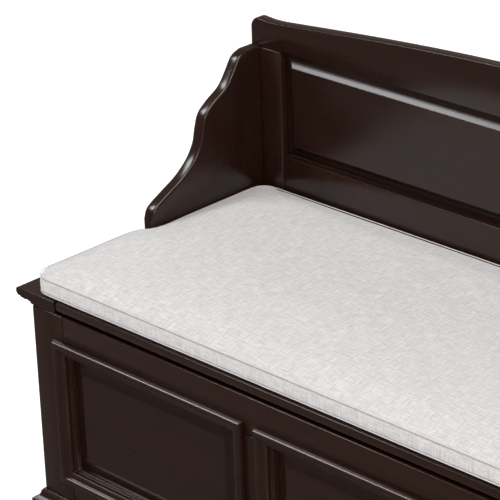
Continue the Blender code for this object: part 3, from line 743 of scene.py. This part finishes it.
def settle(piece):
    """Crowns the foam, wrinkles the cover a little, and keeps it off the lid and the wings."""
    size = cushion_sizes()
    places = places_of(piece.data)
    x, y, z = places.T
    rise = (z - size["bottom"]) / (size["top"] - size["bottom"])
    share = np.clip((rise - 0.55) / 0.35, 0, 1)
    ripple = np.sin(x * 17 + 1.3) * np.sin(y * 23 + 0.4) * 0.5 + np.sin(x * 41 + y * 13) * 0.25
    z = z + share * (CROWN_HEIGHT * crown(x, y) + RIPPLE_HEIGHT * ripple)
    z = np.maximum(z, size["bottom"] - UNDERSIDE_SINK)
    beside_wing = (y > size["waist_end"] - 0.003) & (np.abs(x) > size["narrow"])
    x = np.where(beside_wing, np.copysign(size["narrow"], x), x)
    y = np.minimum(y, size["rear"] + 0.0015)
    put_places(piece.data, np.stack([x, y, z], 1))


def seam_path(skin, height, sink):
    """Points along the cushion's side at a seam's height, sunk a little into the cover."""
    points = []
    for place in even_outline(cushion_outline(-SEAM_SEARCH), SEAM_STEP):
        found, normal = skin.find_nearest(Vector((place.x, place.y, height)))[:2]
        points.append(Vector((found.x, found.y, height)) - Vector((normal.x, normal.y, 0)) * sink)
    smooth = []
    for i, point in enumerate(points):
        smooth.append((points[i - 1] + point * 2 + points[(i + 1) % len(points)]) / 4)
    return smooth


def press_seams(piece):
    """Draws the cover in along its seams."""
    low_seam, high_seam = seam_levels()
    places = places_of(piece.data)
    normals = normals_of(piece.data)
    pull = np.zeros(len(places))
    for seam in (low_seam, high_seam):
        off = np.minimum(np.abs(places[:, 2] - seam) / SEAM_PRESS_REACH, 1.0)
        pull = np.maximum(pull, (1 - off * off) ** 2)
    pull[np.abs(normals[:, 2]) > 0.93] = 0
    places[:, :2] -= normals[:, :2] * (SEAM_PRESS_DEPTH * pull)[:, None]
    put_places(piece.data, places)


class BENCH_OT_cushion(bpy.types.Operator):
    """Fill the linen seat cushion and sew its seams"""

    bl_idname = "bench.cushion"
    bl_label = "Make Seat Cushion"

    def execute(self, context):
        settings = context.scene.bench_cushion
        linen = slub_linen(settings)
        piece = new_piece("linen_seat_cushion", cushion_blank(settings, settings.swell * 0.4), linen)
        remesh = piece.modifiers.new("even_mesh", "REMESH")
        remesh.mode = "VOXEL"
        remesh.voxel_size = CUSHION_VOXEL
        even = bpy.data.meshes.new_from_object(piece.evaluated_get(context.evaluated_depsgraph_get()))
        piece.modifiers.clear()
        piece.data = even
        if not even.materials:
            even.materials.append(linen)
        fill_with_cloth(piece, settings)
        settle(piece)
        finer = piece.modifiers.new("finer", "SUBSURF")
        finer.levels = 1
        fine = bpy.data.meshes.new_from_object(piece.evaluated_get(context.evaluated_depsgraph_get()))
        piece.modifiers.clear()
        piece.data = fine
        press_seams(piece)
        fine.shade_smooth()
        corners = [v.co.copy() for v in fine.vertices]
        skin = BVHTree.FromPolygons(corners, [tuple(p.vertices) for p in fine.polygons])
        low_seam, high_seam = seam_levels()
        thread = seam_thread(settings)
        seams = []
        for label, height in (("lower", low_seam), ("upper", high_seam)):
            bm = bmesh.new()
            tube(bm, seam_path(skin, height, SEAM_SINK), settings.seam, SEAM_SIDES)
            seams.append(new_piece(f"cushion_{label}_seam", bm, thread))
        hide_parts(*CUSHION_NODES)
        for part in (piece, *seams):
            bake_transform(part)
        return {"FINISHED"}


# Studio


class BENCH_OT_studio(bpy.types.Operator):
    """Set out the floor, the lights and the camera"""

    bl_idname = "bench.studio"
    bl_label = "Set Out Studio"

    def execute(self, context):
        scene = context.scene
        settings = scene.bench_studio
        ground = Finish("pale_floor", 0.85, Specular_IOR_Level=0.1, Emission_Strength=0.35)
        ground.set("Emission Color", settings.floor)
        speckle = ground.noise(ground.place(), 3.0, 2.0)
        ground.set("Base Color", ground.mix(speckle, [c * 0.99 for c in settings.floor], settings.floor))
        bm = bmesh.new()
        bmesh.ops.create_grid(bm, x_segments=2, y_segments=2, size=FLOOR_HALF_SIZE)
        floor = new_piece("studio_floor", bm, ground.material)
        floor.visible_glossy = False
        backdrop = self.hang_backdrop(settings)
        world = bpy.data.worlds.new("studio_fill")
        world.use_nodes = True
        tree = world.node_tree
        sky = tree.nodes["Background"]
        sky.inputs["Strength"].default_value = settings.sky
        sky.inputs["Color"].default_value = (*settings.sky_tint, 1.0)
        scene.world = world
        lights = (
            ("window_left", (-3.1, -1.7, 3.7), (0.0, 0.0, 0.35), 1.4, 84.0, (0.96, 0.98, 1.0)),
            ("softbox_above", (0.3, -0.8, 4.0), (0.0, 0.0, 0.40), 1.8, 76.0, (1.0, 1.0, 1.0)),
            ("softbox_right", (3.5, -1.9, 2.9), (0.0, 0.0, 0.35), 2.4, 112.0, (1.0, 0.89, 0.86)),
            ("rim_behind", (-1.8, 3.0, 3.2), (0.0, 0.1, 0.50), 1.2, 28.0, (1.0, 1.0, 1.0)),
        )
        for name, place, aim, size, power, tint in lights:
            lamp = bpy.data.lights.new(name, "AREA")
            lamp.shape = "SQUARE"
            lamp.size = size
            lamp.energy = power
            lamp.color = tint
            holder = bpy.data.objects.new(name, lamp)
            scene.collection.objects.link(holder)
            holder.location = place
            holder.rotation_euler = (Vector(aim) - Vector(place)).to_track_quat("-Z", "Y").to_euler()
        lens = bpy.data.cameras.new("studio_camera")
        lens.lens = settings.lens
        lens.sensor_width = 36.0
        lens.clip_end = 100.0
        camera = bpy.data.objects.new("studio_camera", lens)
        scene.collection.objects.link(camera)
        turn, tilt, roll = (math.radians(a) for a in settings.camera_turn)
        ahead = Vector((-math.sin(turn) * math.cos(tilt), math.cos(turn) * math.cos(tilt), -math.sin(tilt)))
        right = Vector((math.cos(turn), math.sin(turn), 0))
        up = right.cross(ahead)
        leaned_right = right * math.cos(roll) + up * math.sin(roll)
        leaned_up = up * math.cos(roll) - right * math.sin(roll)
        matrix = Matrix((leaned_right, leaned_up, -ahead)).transposed().to_4x4()
        camera.matrix_world = Matrix.Translation(settings.camera_place) @ matrix
        scene.camera = camera
        scene.view_settings.view_transform = "Standard"
        return {"FINISHED"}

    def hang_backdrop(self, settings):
        """A pale wall all round, far behind the lights, that only the camera sees."""
        paper = Finish("backdrop_paper", 0.9, Specular_IOR_Level=0.0, Emission_Strength=0.8)
        paper.set("Base Color", settings.floor)
        paper.set("Emission Color", settings.floor)
        bm = bmesh.new()
        bmesh.ops.create_cone(
            bm, segments=BACKDROP_SIDES, radius1=BACKDROP_RADIUS, radius2=BACKDROP_RADIUS,
            depth=BACKDROP_HEIGHT,
        )
        backdrop = new_piece("studio_backdrop", bm, paper.material)
        backdrop.visible_glossy = False
        backdrop.visible_diffuse = False
        backdrop.visible_shadow = False
        return backdrop


class BENCH_PT_panel(bpy.types.Panel):
    """The bench's making, step by step"""

    bl_idname = "BENCH_PT_panel"
    bl_label = "Storage Bench"
    bl_space_type = "VIEW_3D"
    bl_region_type = "UI"
    bl_category = "Bench"

    def draw(self, context):
        for group in GROUPS:
            box = self.layout.box()
            settings = getattr(context.scene, group)
            for name in settings.bl_rna.properties.keys():
                if name not in ("rna_type", "name"):
                    box.prop(settings, name)
        for step in STEPS:
            self.layout.operator(step.bl_idname)


GROUPS = {
    "bench_wood": WoodSettings,
    "bench_fittings": FittingSettings,
    "bench_cushion": CushionSettings,
    "bench_studio": StudioSettings,
}
STEPS = (BENCH_OT_woodwork, BENCH_OT_fittings, BENCH_OT_screws, BENCH_OT_cushion, BENCH_OT_studio)
CLASSES = (*GROUPS.values(), *STEPS, BENCH_PT_panel)


def register():
    for cls in CLASSES:
        bpy.utils.register_class(cls)
    for name, group in GROUPS.items():
        setattr(bpy.types.Scene, name, bpy.props.PointerProperty(type=group))


def unregister():
    for name in GROUPS:
        delattr(bpy.types.Scene, name)
    for cls in reversed(CLASSES):
        bpy.utils.unregister_class(cls)


def main():
    register()
    bpy.ops.bench.woodwork()
    bpy.ops.bench.fittings()
    bpy.ops.bench.screws()
    bpy.ops.bench.cushion()
    bpy.ops.bench.studio()


if __name__ == "__main__":
    main()
